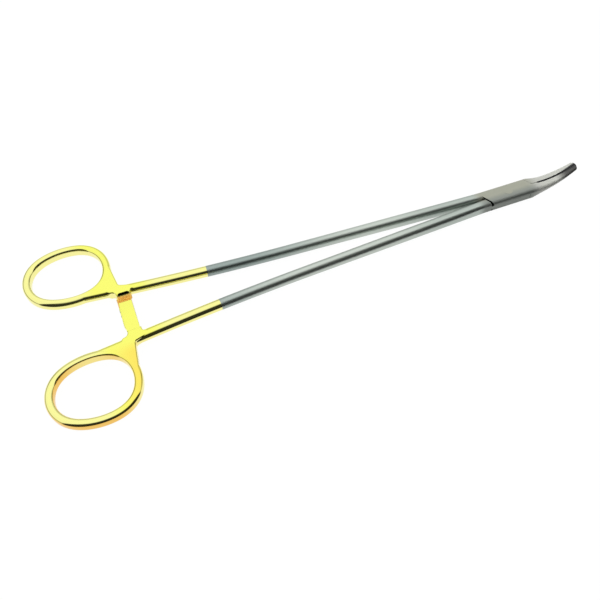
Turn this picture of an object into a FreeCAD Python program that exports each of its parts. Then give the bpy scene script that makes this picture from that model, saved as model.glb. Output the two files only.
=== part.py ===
"""Ring-handled surgical needle holder: two forged halves that cross in a box lock.

Millimetres. X runs from the lock pin to the tips, Y across and Z up. The origin is
where the pin's axis meets the surface that the instrument lies on.
"""

import FreeCAD, Part
import os
from math import asin, cos, pi, radians, sin, tan

Vec = FreeCAD.Vector

# Finger rings
ring_length = 32.8              # outer size along X
ring_breadth = 29.2             # outer size across
ring_band = 3.0                 # width of the band, seen from above
ring_lean = 0.32                # second harmonic of the outline: the lean towards the shank
ring_shoulder = 0.38            # third harmonic of the outline: how square its sides are
ring_edge = 1.1                 # rounding of the band's edges
ring_clear = 1.4                # ratchet centre to the front of the ring, along X
ring_tuck = 0.4                 # how far the ring reaches inside the shank's centreline
ring_points = 48                # points that its outline is drawn through

# Handles and ratchet
handle_thickness = 4.0
web_edge = 0.6                  # rounding of the web between ring and shank
web_root = 0.18                 # where its inner side leaves the ring, as a share of the ring's length
web_outer_root = 0.07           # where its outer side does, as a share of the ring's breadth
web_line = 2.3                  # web's inner side beyond the ring's middle line, at the boss
web_crook = 1.8                 # radius where the web's inner side turns to the bar
web_corner = 1.2                # radius where the web's outer side meets the shank
web_outer_lead = 0.6            # ratchet centre back to the web's outer side, at the shank
web_outer_slant = 0.8           # how much further back that side is at the ring
ratchet_back = 163.4            # pin to the middle of the ratchet bars
boss_stand = 1.65               # boss face beyond the shank's inner side
boss_lead = 0.5                 # boss beyond the bar, towards the shank
boss_crook = 1.0                # radius where the boss turns to the shank
boss_taper = 2.6                # length over which it dies out along the shank
bar_root = 0.6                  # how deep the bar is rooted in the boss
bar_width = 4.8
bar_end_gap = 3.1               # bar end to the other half's boss
bar_ledge = 0.5                 # how much wider the lower bar is, towards the rings
tooth_count = 4
tooth_pitch = 2.1
tooth_depth = 0.6
tooth_ramp = 0.85               # share of the pitch that climbs to the crest
crest_gap = 0.14                # between the crests of the two bars

# Shanks
shank_diameter = 3.9            # at the handle
shank_swell = 4.3               # width at its widest, behind the box
shank_swell_back = 50.0         # pin to where the shank reaches that width
shank_swell_corner = 1.9
shank_flare_back = 28.0         # pin to where the shank starts to turn square
shank_spread = 2.75             # degrees from the centreline, ahead of the bow
shank_bow_back = 95.0           # pin to where the shank starts to bow outwards
shank_bow_radius = 1136.0
shank_root = 1.0                # how far the shank runs into the web, past the ratchet's middle
shank_fullness = 0.97           # corner radius of its round sections, as a share of the half size
neck_step = 0.12                # shank's surface below the box's, where it runs into the box
seam_gap = 0.08                 # shank's inner side to the centreline, at the box

# Box lock
box_half_length = 11.4          # pin to the shoulder, on the centreline
box_half_width = 4.2
box_thickness = 5.5
box_edge = 1.6                  # rounding of the outer edges
shoulder_run = 2.2              # how far a shoulder slants forward over half the width
rear_shoulder_gap = 0.7         # open joint at the rear shoulders
front_shoulder_gap = 0.12       # same, at the front ones
slot_height = 2.0
slide_clearance = 0.05          # tongue to each cheek
wall_clearance = 0.25           # tongue to the slot's end walls
pin_radius = 1.5
pin_clearance = 0.05            # pin to the tongue's bore
rivet_radius = 1.9              # pin ends, spread into the countersinks
rivet_depth = 0.6

# Jaws
tip_reach = 33.5                # pin to the tips, along X
bend_start = 13.0               # pin to where the jaws start to curve up
bend_radius = 38.0
jaw_root_half_width = 3.8       # half width of the closed jaws just past the box
step_power = 8                  # how quickly the box narrows to that
tip_half_width = 2.15           # half width where the rounded nose begins
tip_round = 1.3                 # length of the rounded nose
tip_thickness = 1.7
thickness_power = 1.8           # how early the jaws lose thickness
width_power = 1.5               # how late the jaws lose width
jaw_round = 0.45                # corner radius as a share of the thickness
nose_flatness = 0.5             # how little the nose thins towards its end
nose_round = 0.9                # largest corner radius of the nose, as a share of its half size
nose_shares = (0.0, 0.35, 0.65, 0.85, 0.96)
jaw_stations = 7
face_gap = 0.15                 # gripping face to the centreline

# Hard-metal inserts
insert_back = 15.0              # pin to the start of the inserts
insert_swell = 25.0             # pin to where the inserts start to thicken
insert_root_thickness = 0.3
insert_tip_thickness = 0.85

# Limits
edge_share = 0.45               # largest rounding, as a share of the wall it is on
level_tolerance = 0.01

# Derived places
box_half_height = box_thickness / 2
slot_half = slot_height / 2
tongue_half = slot_half - slide_clearance
handle_half = handle_thickness / 2
neck_centre = (box_half_width + seam_gap) / 2
neck_half_width = (box_half_width - seam_gap) / 2
neck_start = box_half_length + 2 * shoulder_run
neck_end = box_half_length - shoulder_run
slant = shoulder_run / box_half_width
far = 2 * tip_reach             # well past the box and the jaws
jaw_length = tip_reach - tip_round - box_half_length


def shank_side(back):
    """Distance of a shank's centreline from the middle, at a distance behind the pin."""
    straight = neck_centre + (back - box_half_length) * tan(radians(shank_spread))
    bowed = max(0.0, back - shank_bow_back)
    return straight + bowed ** 2 / (2 * shank_bow_radius)


ratchet_side = shank_side(ratchet_back)
boss_face = ratchet_side - shank_diameter / 2 - boss_stand
bar_end = -(boss_face - bar_end_gap)
ring_back = ratchet_back + ring_clear + ring_length / 2
ring_side = ratchet_side + ring_breadth / 2 - ring_tuck


def prism(corners, low, high):
    """Solid between two heights over an outline of (x, y) or (x, y, corner radius)."""
    points = [Vec(corner[0], corner[1], low) for corner in corners]
    edges = []
    starts, ends = [], []
    for index, corner in enumerate(corners):
        here = points[index]
        radius = corner[2] if len(corner) > 2 else 0
        if radius == 0:
            starts.append(here)
            ends.append(here)
            continue
        back = (points[index - 1] - here).normalize()
        ahead = (points[(index + 1) % len(points)] - here).normalize()
        half_angle = back.getAngle(ahead) / 2
        inwards = (back + ahead).normalize()
        starts.append(here + back * (radius / tan(half_angle)))
        ends.append(here + ahead * (radius / tan(half_angle)))
        middle = here + inwards * (radius / sin(half_angle) - radius)
        edges.append(Part.Arc(starts[-1], middle, ends[-1]).toShape())
    for index, end in enumerate(ends):
        edges.append(Part.makeLine(end, starts[(index + 1) % len(starts)]))
    outline = Part.Wire(Part.__sortEdges__(edges))
    return Part.Face(outline).extrude(Vec(0, 0, high - low))


def mirrored(shape):
    """The same shape on the other side of the middle plane, turned over."""
    return shape.mirror(Vec(0, 0, 0), Vec(0, 1, 0))


def turned_over(shape):
    """The same shape after half a turn about X."""
    copy = shape.copy()
    copy.rotate(Vec(0, 0, 0), Vec(1, 0, 0), 180)
    return copy


def rounded(shape, radius, chosen):
    """The shape with a fillet on each edge that the test picks."""
    return shape.makeFillet(radius, [edge for edge in shape.Edges if chosen(edge)])


def middle_of(edge):
    """The point halfway along an edge."""
    return edge.valueAt((edge.FirstParameter + edge.LastParameter) / 2)


def on_a_face(edge):
    """Whether an edge lies in the upper or the lower face of a handle."""
    return abs(abs(middle_of(edge).z) - handle_half) < level_tolerance


def ring_outline(offset):
    """Face inside the ring's middle line, moved outwards by an offset."""
    half_long = (ring_length - ring_band) / 2
    half_wide = (ring_breadth - ring_band) / 2
    points = []
    for index in range(ring_points):
        turn = 2 * pi * index / ring_points
        x = half_long * cos(turn)
        y = half_wide * sin(turn) + ring_lean * sin(2 * turn) + ring_shoulder * sin(3 * turn)
        along_x = -half_long * sin(turn)
        along_y = half_wide * cos(turn) + 2 * ring_lean * cos(2 * turn) + 3 * ring_shoulder * cos(3 * turn)
        outward = Vec(along_y, -along_x, 0).normalize()
        points.append(Vec(x - ring_back, y + ring_side, -handle_half) + outward * offset)
    curve = Part.BSplineCurve()
    curve.interpolate(Points=points, PeriodicFlag=True)
    return Part.Face(Part.Wire([curve.toShape()]))


def finger_ring():
    """Flat band with rounded edges round the finger opening."""
    up = Vec(0, 0, handle_thickness)
    band = ring_outline(ring_band / 2).extrude(up).cut(ring_outline(-ring_band / 2).extrude(up))
    limit = edge_share * min(ring_band, handle_thickness)
    return rounded(band, min(ring_edge, limit), on_a_face)


def web_and_boss():
    """Flat web from the ring to the shank, with the boss that carries the ratchet bar."""
    front = -(ratchet_back - bar_width / 2 - boss_lead)
    rear = -(ratchet_back + bar_width / 2)
    ring_root = -(ring_back + web_root * ring_length)
    inner_side = ring_side - (ring_breadth - ring_band) / 2
    outer_side = ratchet_side + shank_diameter / 2
    web_front = -(ratchet_back + web_outer_lead)
    outline = [
        (ring_root, inner_side),
        (rear, inner_side - web_line, web_crook),
        (rear, boss_face),
        (front, boss_face),
        (front, ratchet_side - shank_diameter / 2, boss_crook),
        (front + boss_taper, ratchet_side - shank_diameter / 4),
        (front + boss_taper, ratchet_side),
        (web_front, outer_side, web_corner),
        (web_front - web_outer_slant, ring_side - web_outer_root * ring_breadth),
        (-ring_back, ring_side),
    ]
    block = prism(outline, -handle_half, handle_half)
    block = rounded(block, min(web_edge, edge_share * handle_thickness), on_a_face)
    return block.cut(ring_outline(0).extrude(Vec(0, 0, handle_thickness)))


def ratchet_bar(ledge):
    """Bar that reaches past the middle, with saw teeth on its upper face."""
    crest = -crest_gap / 2
    floor = crest - tooth_depth
    toothed = tooth_count * tooth_pitch
    start = -toothed / 2
    profile = [(bar_end, -handle_half), (boss_face + bar_root, -handle_half)]
    profile += [(boss_face + bar_root, crest), (boss_face - bar_root, crest)]
    profile += [(boss_face - bar_root, floor), (start + toothed, floor)]
    for index in reversed(range(tooth_count)):
        foot = start + index * tooth_pitch
        profile += [(foot + tooth_ramp * tooth_pitch, crest), (foot, floor)]
    profile += [(bar_end, floor)]
    rear = -ratchet_back - bar_width / 2 - ledge
    outline = Part.makePolygon([Vec(rear, y, z) for y, z in profile + profile[:1]])
    return Part.Face(outline).extrude(Vec(bar_width + ledge, 0, 0))


def rounded_outline(centre, up, half_width, half_height, radius):
    """Wire of a rectangle with round corners, standing across the path through its centre."""
    across = Vec(0, 1, 0)
    flat_width = half_width - radius
    flat_height = half_height - radius
    diagonal = radius * cos(pi / 4)
    edges = []
    for side, level in ((1, 1), (-1, 1), (-1, -1), (1, -1)):
        corner = centre + across * (side * flat_width) + up * (level * flat_height)
        beside = corner + across * (side * radius)
        above = corner + up * (level * radius)
        bulge = corner + across * (side * diagonal) + up * (level * diagonal)
        first, last = (beside, above) if side == level else (above, beside)
        edges.append(Part.Arc(first, bulge, last).toShape())
    ends = [(edge.valueAt(edge.FirstParameter), edge.valueAt(edge.LastParameter)) for edge in edges]
    chain = []
    for index, edge in enumerate(edges):
        chain.append(edge)
        chain.append(Part.makeLine(ends[index][1], ends[(index + 1) % len(ends)][0]))
    return Part.Wire(chain)


def shank_section(back, half_width, half_height, corner):
    """Outline across the shank, from round to a rectangle with round corners."""
    radius = min(corner, shank_fullness * half_width, shank_fullness * half_height)
    return rounded_outline(Vec(-back, shank_side(back), 0), Vec(0, 0, 1), half_width, half_height, radius)


def shank_half_height(back):
    """Half height of the shank, which grows evenly from the handle to the box."""
    run = ratchet_back + shank_root
    share = (run - back) / (run - neck_start)
    return shank_diameter / 2 + (box_half_height - neck_step - shank_diameter / 2) * share


def shank():
    """Long bowed rod that turns from round at the handle to square at the box."""
    thick = shank_diameter / 2
    swell = shank_swell / 2
    middle = (thick + swell) / 2
    places = [
        (ratchet_back + shank_root, thick, thick),
        ((ratchet_back + shank_bow_back) / 2, thick, thick),
        (shank_bow_back, middle, middle),
        ((shank_bow_back + shank_swell_back) / 2, (middle + swell) / 2, shank_swell_corner),
        (shank_swell_back, swell, shank_swell_corner),
        (shank_flare_back, swell, shank_swell_corner),
        (neck_start, neck_half_width - neck_step, box_edge),
    ]
    sections = [shank_section(back, width, shank_half_height(back), corner) for back, width, corner in places]
    neck = shank_section(neck_end, neck_half_width - neck_step, box_half_height - neck_step, box_edge)
    return Part.makeLoft(sections, True).fuse(Part.makeLoft([sections[-1], neck], True))


def handle(ledge=0):
    """Ring, web, boss, ratchet bar and shank of one half, on the +Y side."""
    return finger_ring().fuse([web_and_boss(), ratchet_bar(ledge), shank()])


def jaw_section(along, shrink=1.0):
    """Outline across the closed jaws, from 0 at the box to 1 where the nose begins."""
    x = box_half_length + along * jaw_length
    turn = asin(max(0.0, x - bend_start) / bend_radius)
    thick = tip_thickness + (box_thickness - tip_thickness) * (1 - along) ** thickness_power
    half_width = tip_half_width + (jaw_root_half_width - tip_half_width) * (1 - along ** width_power)
    half_width += (box_half_width - jaw_root_half_width) * (1 - along) ** step_power
    centre = Vec(x, 0, bend_radius * (1 - cos(turn)))
    radius = min(box_edge, jaw_round * thick) * shrink
    up = Vec(-sin(turn), 0, cos(turn))
    return rounded_outline(centre, up, half_width * shrink, thick / 2 * shrink, radius)


def nose_section(share):
    """Outline across the rounded end, from 0 where it begins to near 1 at the tip."""
    turn = asin((tip_reach - tip_round - bend_start) / bend_radius)
    heading = Vec(cos(turn), 0, sin(turn))
    narrowed = (1 - share ** 2) ** 0.5
    thinned = (1 - (nose_flatness * share) ** 2) ** 0.5
    centre = Vec(box_half_length + jaw_length, 0, bend_radius * (1 - cos(turn))) + heading * (share * tip_round)
    half_height = tip_thickness / 2 * thinned
    up = Vec(-sin(turn), 0, cos(turn))
    half_width = tip_half_width * narrowed
    radius = min(jaw_round * tip_thickness, nose_round * half_width, nose_round * half_height)
    return rounded_outline(centre, up, half_width, half_height, radius)


def closed_front():
    """Box and both jaws as one closed lump, before it is divided between the halves."""
    start = Vec(-neck_start, 0, 0)
    box_outline = rounded_outline(start, Vec(0, 0, 1), box_half_width, box_half_height, box_edge)
    box = Part.Face(box_outline).extrude(Vec(neck_start + box_half_length, 0, 0))
    jaws = Part.makeLoft([jaw_section(index / jaw_stations) for index in range(jaw_stations + 1)], True)
    nose = Part.makeLoft([nose_section(share) for share in nose_shares], True)
    return box.fuse([jaws, nose])


def shoulder_block(lean, rear_margin, front_margin, low, high):
    """Slanted block between the two shoulder lines, which lean one way or the other."""
    rear = -(box_half_length + rear_margin)
    front = box_half_length + front_margin
    corners = []
    for along, side in ((rear, -1), (rear, 1), (front, 1), (front, -1)):
        corners.append((along + lean * slant * side * far, side * far))
    return prism(corners, low, high)


def front_blank():
    """One half's share of the box and jaws at full thickness, with its jaw at -Y."""
    waist = shoulder_block(-1, 0, 0, -far, far)
    jaw_side_block = prism([(0, -face_gap), (far, -face_gap), (far, -far), (0, -far)], -far, far)
    return closed_front().common(waist.fuse(jaw_side_block))


def insert_block(side):
    """Block that an insert is cut from, behind one gripping face."""
    face = side * face_gap
    root = side * (face_gap + insert_root_thickness)
    tip = side * (face_gap + insert_tip_thickness)
    back = [(far, tip), (tip_reach, tip), (insert_swell, root), (insert_back, root)]
    return prism([(insert_back, face), (far, face)] + back, -far, far)


def rivet(radius, spread):
    """Pin through the whole box, its ends spread into countersinks."""
    body = Part.makeCylinder(radius, box_thickness, Vec(0, 0, -box_half_height))
    for end in (1, -1):
        seat = Vec(0, 0, end * (box_half_height - rivet_depth))
        body = body.fuse(Part.makeCone(radius, spread, rivet_depth, seat, Vec(0, 0, end)))
    return body.removeSplitter()


def female_half():
    """Half whose two cheeks hold the other half's tongue; its jaw is on the -Y side."""
    slot = shoulder_block(1, wall_clearance, wall_clearance, -slot_half, slot_half)
    whole = front_blank().fuse(handle(bar_ledge)).cut(slot)
    return whole.cut([insert_block(-1), rivet(pin_radius, rivet_radius)])


def male_half():
    """Half whose thin tongue passes between the cheeks; its jaw is on the +Y side."""
    above = shoulder_block(-1, rear_shoulder_gap, front_shoulder_gap, tongue_half, far)
    below = shoulder_block(-1, rear_shoulder_gap, front_shoulder_gap, -far, -tongue_half)
    bore = Part.makeCylinder(pin_radius + pin_clearance, 2 * far, Vec(0, 0, -far))
    whole = mirrored(front_blank()).fuse(turned_over(handle())).cut([above, below])
    return whole.cut([insert_block(1), bore])


pieces = {
    "female_half": female_half(),
    "male_half": male_half(),
    "box_lock_pin": rivet(pin_radius, rivet_radius),
    "female_jaw_insert": closed_front().common(insert_block(-1)),
    "male_jaw_insert": closed_front().common(insert_block(1)),
}

os.makedirs("parts", exist_ok=True)
for name, shape in pieces.items():
    solid = shape.Solids[0] if len(shape.Solids) == 1 else shape
    solid.translate(Vec(0, 0, box_half_height))
    solid.exportStep(f"parts/{name}.step")
    box = solid.BoundBox
    print(f"{name}: {len(shape.Solids)} solid, valid {solid.isValid()}, {solid.Volume:.1f} mm3,"
          f" x {box.XMin:.2f} to {box.XMax:.2f}, y {box.YMin:.2f} to {box.YMax:.2f},"
          f" z {box.ZMin:.2f} to {box.ZMax:.2f}")
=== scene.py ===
"""Scene of a surgical needle holder: its fine surfaces, finishes, light and camera.

Shapes are worked out in millimetres about the middle plane of the instrument, with
X from the lock pin to the tips, and go into their meshes in metres, lifted so that the
underside of the box lies on the floor.
"""

import logging
import math
from dataclasses import dataclass, field
from enum import Enum
from functools import cached_property

import bpy
import numpy as np
from mathutils import Matrix

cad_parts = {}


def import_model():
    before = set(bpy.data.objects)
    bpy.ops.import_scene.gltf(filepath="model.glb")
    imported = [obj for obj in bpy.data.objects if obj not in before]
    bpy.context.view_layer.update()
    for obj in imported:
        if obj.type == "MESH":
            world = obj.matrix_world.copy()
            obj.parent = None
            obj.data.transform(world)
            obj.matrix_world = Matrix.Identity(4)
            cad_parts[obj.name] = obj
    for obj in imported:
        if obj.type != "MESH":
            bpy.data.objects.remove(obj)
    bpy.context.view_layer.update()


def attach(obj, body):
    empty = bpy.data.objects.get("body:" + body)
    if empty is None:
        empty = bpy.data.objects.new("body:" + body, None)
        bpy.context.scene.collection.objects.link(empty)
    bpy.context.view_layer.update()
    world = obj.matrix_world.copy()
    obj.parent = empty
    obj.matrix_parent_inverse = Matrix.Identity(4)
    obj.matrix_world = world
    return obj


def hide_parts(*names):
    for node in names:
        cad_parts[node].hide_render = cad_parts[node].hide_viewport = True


log = logging.getLogger("needle_holder")

MM = 0.001

Colour = tuple[float, float, float, float]
Span = tuple[float, float]
Border = tuple[str, float, float]


def linked(name: str, data: bpy.types.ID) -> bpy.types.Object:
    """Puts a new object into the scene.

    Args:
        name: Its name.
        data: Its mesh, camera or lamp.

    Returns:
        The object, at the origin.
    """
    made = bpy.data.objects.new(name, data)
    bpy.context.scene.collection.objects.link(made)
    return made


# ---- surfaces ----

class Combine(Enum):
    """How one solid acts on another."""

    JOIN = "UNION"
    CUT = "DIFFERENCE"
    KEEP = "INTERSECT"


class Solid:
    """Closed surface in millimetres that others are joined to, cut from or kept inside."""

    def __init__(self, mesh: bpy.types.Mesh) -> None:
        """Keeps a mesh.

        Args:
            mesh: A closed mesh in millimetres whose faces point outwards.
        """
        self.mesh = mesh

    @classmethod
    def from_faces(cls, points: np.ndarray, faces: list[list[int]]) -> "Solid":
        """Makes a solid whose faces point outwards.

        The faces are turned round if the volume under them, the sum of the products of
        each fan triangle's corners, comes out negative.

        Args:
            points: Corner points, one per row.
            faces: Corner numbers of each face.

        Returns:
            The solid.
        """
        fans = np.array([(face[0], face[k], face[k + 1])
                         for face in faces for k in range(1, len(face) - 1)])
        first, second, third = (points[fans[:, k]] for k in range(3))
        volume = np.einsum("ij,ij->i", first, np.cross(second, third)).sum()
        ordered = faces if volume > 0 else [face[::-1] for face in faces]
        mesh = bpy.data.meshes.new("working")
        mesh.from_pydata(points.tolist(), [], ordered)
        return cls(mesh)

    def combined(self, other: "Solid", how: Combine) -> "Solid":
        """Joins, cuts or keeps, and gives the result as a new solid.

        Args:
            other: The solid that acts on this one.
            how: What it does.

        Returns:
            The new solid.
        """
        body, tool = linked("working", self.mesh), linked("tool", other.mesh)
        modifier = body.modifiers.new("combine", "BOOLEAN")
        modifier.operation = how.value
        modifier.solver = "MANIFOLD"
        modifier.object = tool
        graph = bpy.context.evaluated_depsgraph_get()
        mesh = bpy.data.meshes.new_from_object(body.evaluated_get(graph), depsgraph=graph)
        for each in (body, tool):
            bpy.data.objects.remove(each)
        return Solid(mesh)

    def __or__(self, other: "Solid") -> "Solid":
        """This solid joined with the other."""
        return self.combined(other, Combine.JOIN)

    def __sub__(self, other: "Solid") -> "Solid":
        """This solid with the other cut away."""
        return self.combined(other, Combine.CUT)

    def __and__(self, other: "Solid") -> "Solid":
        """What this solid and the other have in common."""
        return self.combined(other, Combine.KEEP)

    def moved(self, rows: np.ndarray) -> "Solid":
        """A copy whose points are multiplied by a 3 by 3 matrix.

        Args:
            rows: The matrix; one that mirrors turns the faces round again.

        Returns:
            The copy.
        """
        mesh = self.mesh.copy()
        flat = np.empty(3 * len(mesh.vertices), dtype=np.float32)
        mesh.vertices.foreach_get("co", flat)
        turned = flat.reshape(-1, 3) @ rows.T.astype(np.float32)
        mesh.vertices.foreach_set("co", turned.ravel())
        if np.linalg.det(rows) < 0:
            mesh.flip_normals()
        mesh.update()
        return Solid(mesh)

    def mirrored(self) -> "Solid":
        """The same solid on the other side of the middle plane along X."""
        return self.moved(np.diag([1.0, -1.0, 1.0]))

    def turned_over(self) -> "Solid":
        """The same solid after half a turn about X."""
        return self.moved(np.diag([1.0, -1.0, -1.0]))


def grid_quads(rows: int, columns: int, rows_closed: bool) -> np.ndarray:
    """Corner numbers of the quads of a grid whose columns close round.

    Args:
        rows: Number of rows of points.
        columns: Number of points in a row.
        rows_closed: Whether the last row joins the first.

    Returns:
        An array of four corner numbers per quad.
    """
    row = np.arange(rows if rows_closed else rows - 1)[:, None]
    column = np.arange(columns)[None, :]
    next_row = (row + 1) % rows
    next_column = (column + 1) % columns
    corners = [row * columns + column, row * columns + next_column,
               next_row * columns + next_column, next_row * columns + column]
    return np.stack(corners, axis=-1).reshape(-1, 4)


def lofted(points: np.ndarray, rows_closed: bool = False) -> Solid:
    """Solid through a grid of points, with a flat face over each open end.

    Args:
        points: Points by row, column and coordinate. Each row goes once round.
        rows_closed: Whether the rows come back to the first, as on a ring.

    Returns:
        The solid.
    """
    rows, columns, _ = points.shape
    faces = grid_quads(rows, columns, rows_closed).tolist()
    if not rows_closed:
        last = (rows - 1) * columns
        faces += [list(range(columns))[::-1], list(range(last, last + columns))]
    return Solid.from_faces(points.reshape(-1, 3), faces)


def rounded_rectangle(half_width: np.ndarray, half_height: np.ndarray, radius: np.ndarray,
                      arc_points: int) -> tuple[np.ndarray, np.ndarray]:
    """Outlines of rectangles with round corners.

    Each corner is a quarter circle about a point that lies one radius in from both sides.

    Args:
        half_width: Half the width of each outline.
        half_height: Half the height of each outline.
        radius: Corner radius of each outline.
        arc_points: Points on each corner.

    Returns:
        Places across and up, by outline and point.
    """
    corner = np.repeat(np.arange(4), arc_points)
    turn = (corner + np.tile(np.linspace(0, 1, arc_points), 4)) * (np.pi / 2)
    side = np.where((corner == 0) | (corner == 3), 1.0, -1.0)
    level = np.where(corner < 2, 1.0, -1.0)
    inner_width = (half_width - radius)[:, None]
    inner_height = (half_height - radius)[:, None]
    across = side * inner_width + radius[:, None] * np.cos(turn)
    up = level * inner_height + radius[:, None] * np.sin(turn)
    return across, up


def filleted(corners: list[tuple[float, float, float]], arc_points: int = 9) -> np.ndarray:
    """Outline through corners, each rounded by an arc that touches both its sides.

    The arc's centre lies on the line that halves the corner, at the radius over the sine
    of half the corner's angle.

    Args:
        corners: Place and radius of each corner, in order round the outline.
        arc_points: Points on each arc.

    Returns:
        The outline's points, by row.
    """
    pieces = []
    for index, (x, y, radius) in enumerate(corners):
        here = np.array([x, y])
        if radius == 0:
            pieces.append(here[None, :])
            continue
        back = np.array(corners[index - 1][:2]) - here
        ahead = np.array(corners[(index + 1) % len(corners)][:2]) - here
        back /= np.linalg.norm(back)
        ahead /= np.linalg.norm(ahead)
        half_angle = math.acos(float(back @ ahead)) / 2
        inwards = (back + ahead) / np.linalg.norm(back + ahead)
        centre = here + inwards * radius / math.sin(half_angle)
        start = back * radius / math.tan(half_angle) + here - centre
        end = ahead * radius / math.tan(half_angle) + here - centre
        share = np.linspace(0, 1, arc_points)[:, None]
        chord = start * (1 - share) + end * share
        pieces.append(centre + radius * chord / np.linalg.norm(chord, axis=1)[:, None])
    return np.vstack(pieces)


def inset(outline: np.ndarray, distance: np.ndarray) -> np.ndarray:
    """An outline that runs anticlockwise, moved inwards.

    Each point moves along the middle of its two sides' inward normals, by the distance
    over the cosine of half the angle between them, so that both sides move by the distance.

    Args:
        outline: Points by row.
        distance: How far the sides move at each point.

    Returns:
        The moved points.
    """
    def inward(sides: np.ndarray) -> np.ndarray:
        """Unit normals on the left of each side."""
        left = np.stack([-sides[:, 1], sides[:, 0]], axis=1)
        return left / np.linalg.norm(left, axis=1)[:, None]

    before = inward(outline - np.roll(outline, 1, axis=0))
    after = inward(np.roll(outline, -1, axis=0) - outline)
    middle = before + after
    middle /= np.linalg.norm(middle, axis=1)[:, None]
    return outline + middle * (distance / np.einsum("ij,ij->i", middle, after))[:, None]


def slab(outline: np.ndarray, low: float, high: float, edge: float | np.ndarray = 0.0,
         arc_points: int = 7) -> Solid:
    """Solid between two heights over an outline, with its rims rounded by a quarter circle.

    Args:
        outline: Points of the outline, anticlockwise, by row.
        low: Height of the lower face.
        high: Height of the upper face.
        edge: Radius of the rims, or one for each point; 0 leaves them sharp.
        arc_points: Points on each rim's rounding.

    Returns:
        The solid.
    """
    edges = np.broadcast_to(edge, len(outline))
    turn = np.linspace(0, np.pi / 2, arc_points if edges.any() else 1)
    levels = []
    for side, depth, rise in [(low, 1 - np.sin(t), 1 - np.cos(t)) for t in turn] + \
                             [(high, 1 - np.sin(t), np.cos(t) - 1) for t in turn[::-1]]:
        levels.append(np.column_stack([inset(outline, edges * depth), side + edges * rise]))
    return lofted(np.stack(levels))


def eased(stations: list[float], values: list[float], places: np.ndarray, run: float,
          samples: int = 21) -> np.ndarray:
    """Values at places along a line, with the corners between straight runs worn round.

    The value is the straight-line one between stations, averaged over a short run to
    each side of the place.

    Args:
        stations: Where the values are given, in rising order.
        values: The values there.
        places: Where they are wanted.
        run: Half the length that is averaged over.
        samples: How many values the average takes.

    Returns:
        The value at each place.
    """
    offsets = np.linspace(-run, run, samples)[None, :]
    return np.interp(places[:, None] + offsets, stations, values).mean(axis=1)


# ---- the instrument's parts ----

@dataclass(frozen=True)
class BoxSize:
    """Outer half sizes of the lock's box."""

    length: float = 11.4
    width: float = 4.2
    height: float = 2.75


@dataclass
class Shank:
    """Long bowed rod from the handle to the box."""

    diameter: float = 3.9
    rear_width: float = 4.15
    swell: float = 4.3
    swell_back: float = 50.0
    swell_corner: float = 1.9
    flare_back: float = 28.0
    neck_corner: float = 1.6
    fullness: float = 0.97
    spread: float = 2.75
    bow_back: float = 95.0
    bow_radius: float = 1136.0
    seam_gap: float = 0.08
    box: BoxSize = BoxSize()
    neck_step: float = 0.04
    neck_start: float = 15.8
    neck_end: float = 9.2
    root_back: float = 164.4
    round_end: float = 129.0
    ease: float = 2.0
    stations: int = 200
    arc_points: int = 18

    def side(self, back: np.ndarray) -> np.ndarray:
        """Distance of the centreline from the middle.

        A straight line at the spread angle, plus the squared run past the start of the
        bow over twice the bow's radius.

        Args:
            back: Distances behind the pin.

        Returns:
            The distance at each.
        """
        straight = (self.box.width + self.seam_gap) / 2
        straight = straight + (back - self.box.length) * math.tan(math.radians(self.spread))
        return straight + np.maximum(0.0, back - self.bow_back) ** 2 / (2 * self.bow_radius)

    def solid(self) -> Solid:
        """Rectangles with round corners, from round at the handle to square at the box.

        The half height grows evenly along the rod. The half width and the corners ease
        between the values at their stations.

        Returns:
            The rod on the +Y side.
        """
        back = np.linspace(self.root_back, self.neck_end, self.stations)
        neck = (self.box.width - self.seam_gap) / 2 - self.neck_step
        tall = self.box.height - self.neck_step
        thick, rear, swell = self.diameter / 2, self.rear_width / 2, self.swell / 2
        middle = (rear + swell) / 2
        share = np.clip((self.root_back - back) / (self.root_back - self.neck_start), 0.0, 1.0)
        height = thick + (tall - thick) * share
        places = [self.neck_start, self.flare_back, self.swell_back,
                  self.bow_back, self.round_end, self.root_back]
        corners = [self.neck_corner, self.swell_corner, self.swell_corner, middle, thick, thick]
        width = eased(places, [neck, swell, swell, middle, rear, rear], back, self.ease)
        corner = eased(places, corners, back, self.ease)
        corner = np.minimum(corner, self.fullness * np.minimum(width, height))
        across, up = rounded_rectangle(width, height, corner, self.arc_points)
        along = np.broadcast_to(-back[:, None], across.shape)
        return lofted(np.stack([along, self.side(back)[:, None] + across, up], axis=-1))


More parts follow.
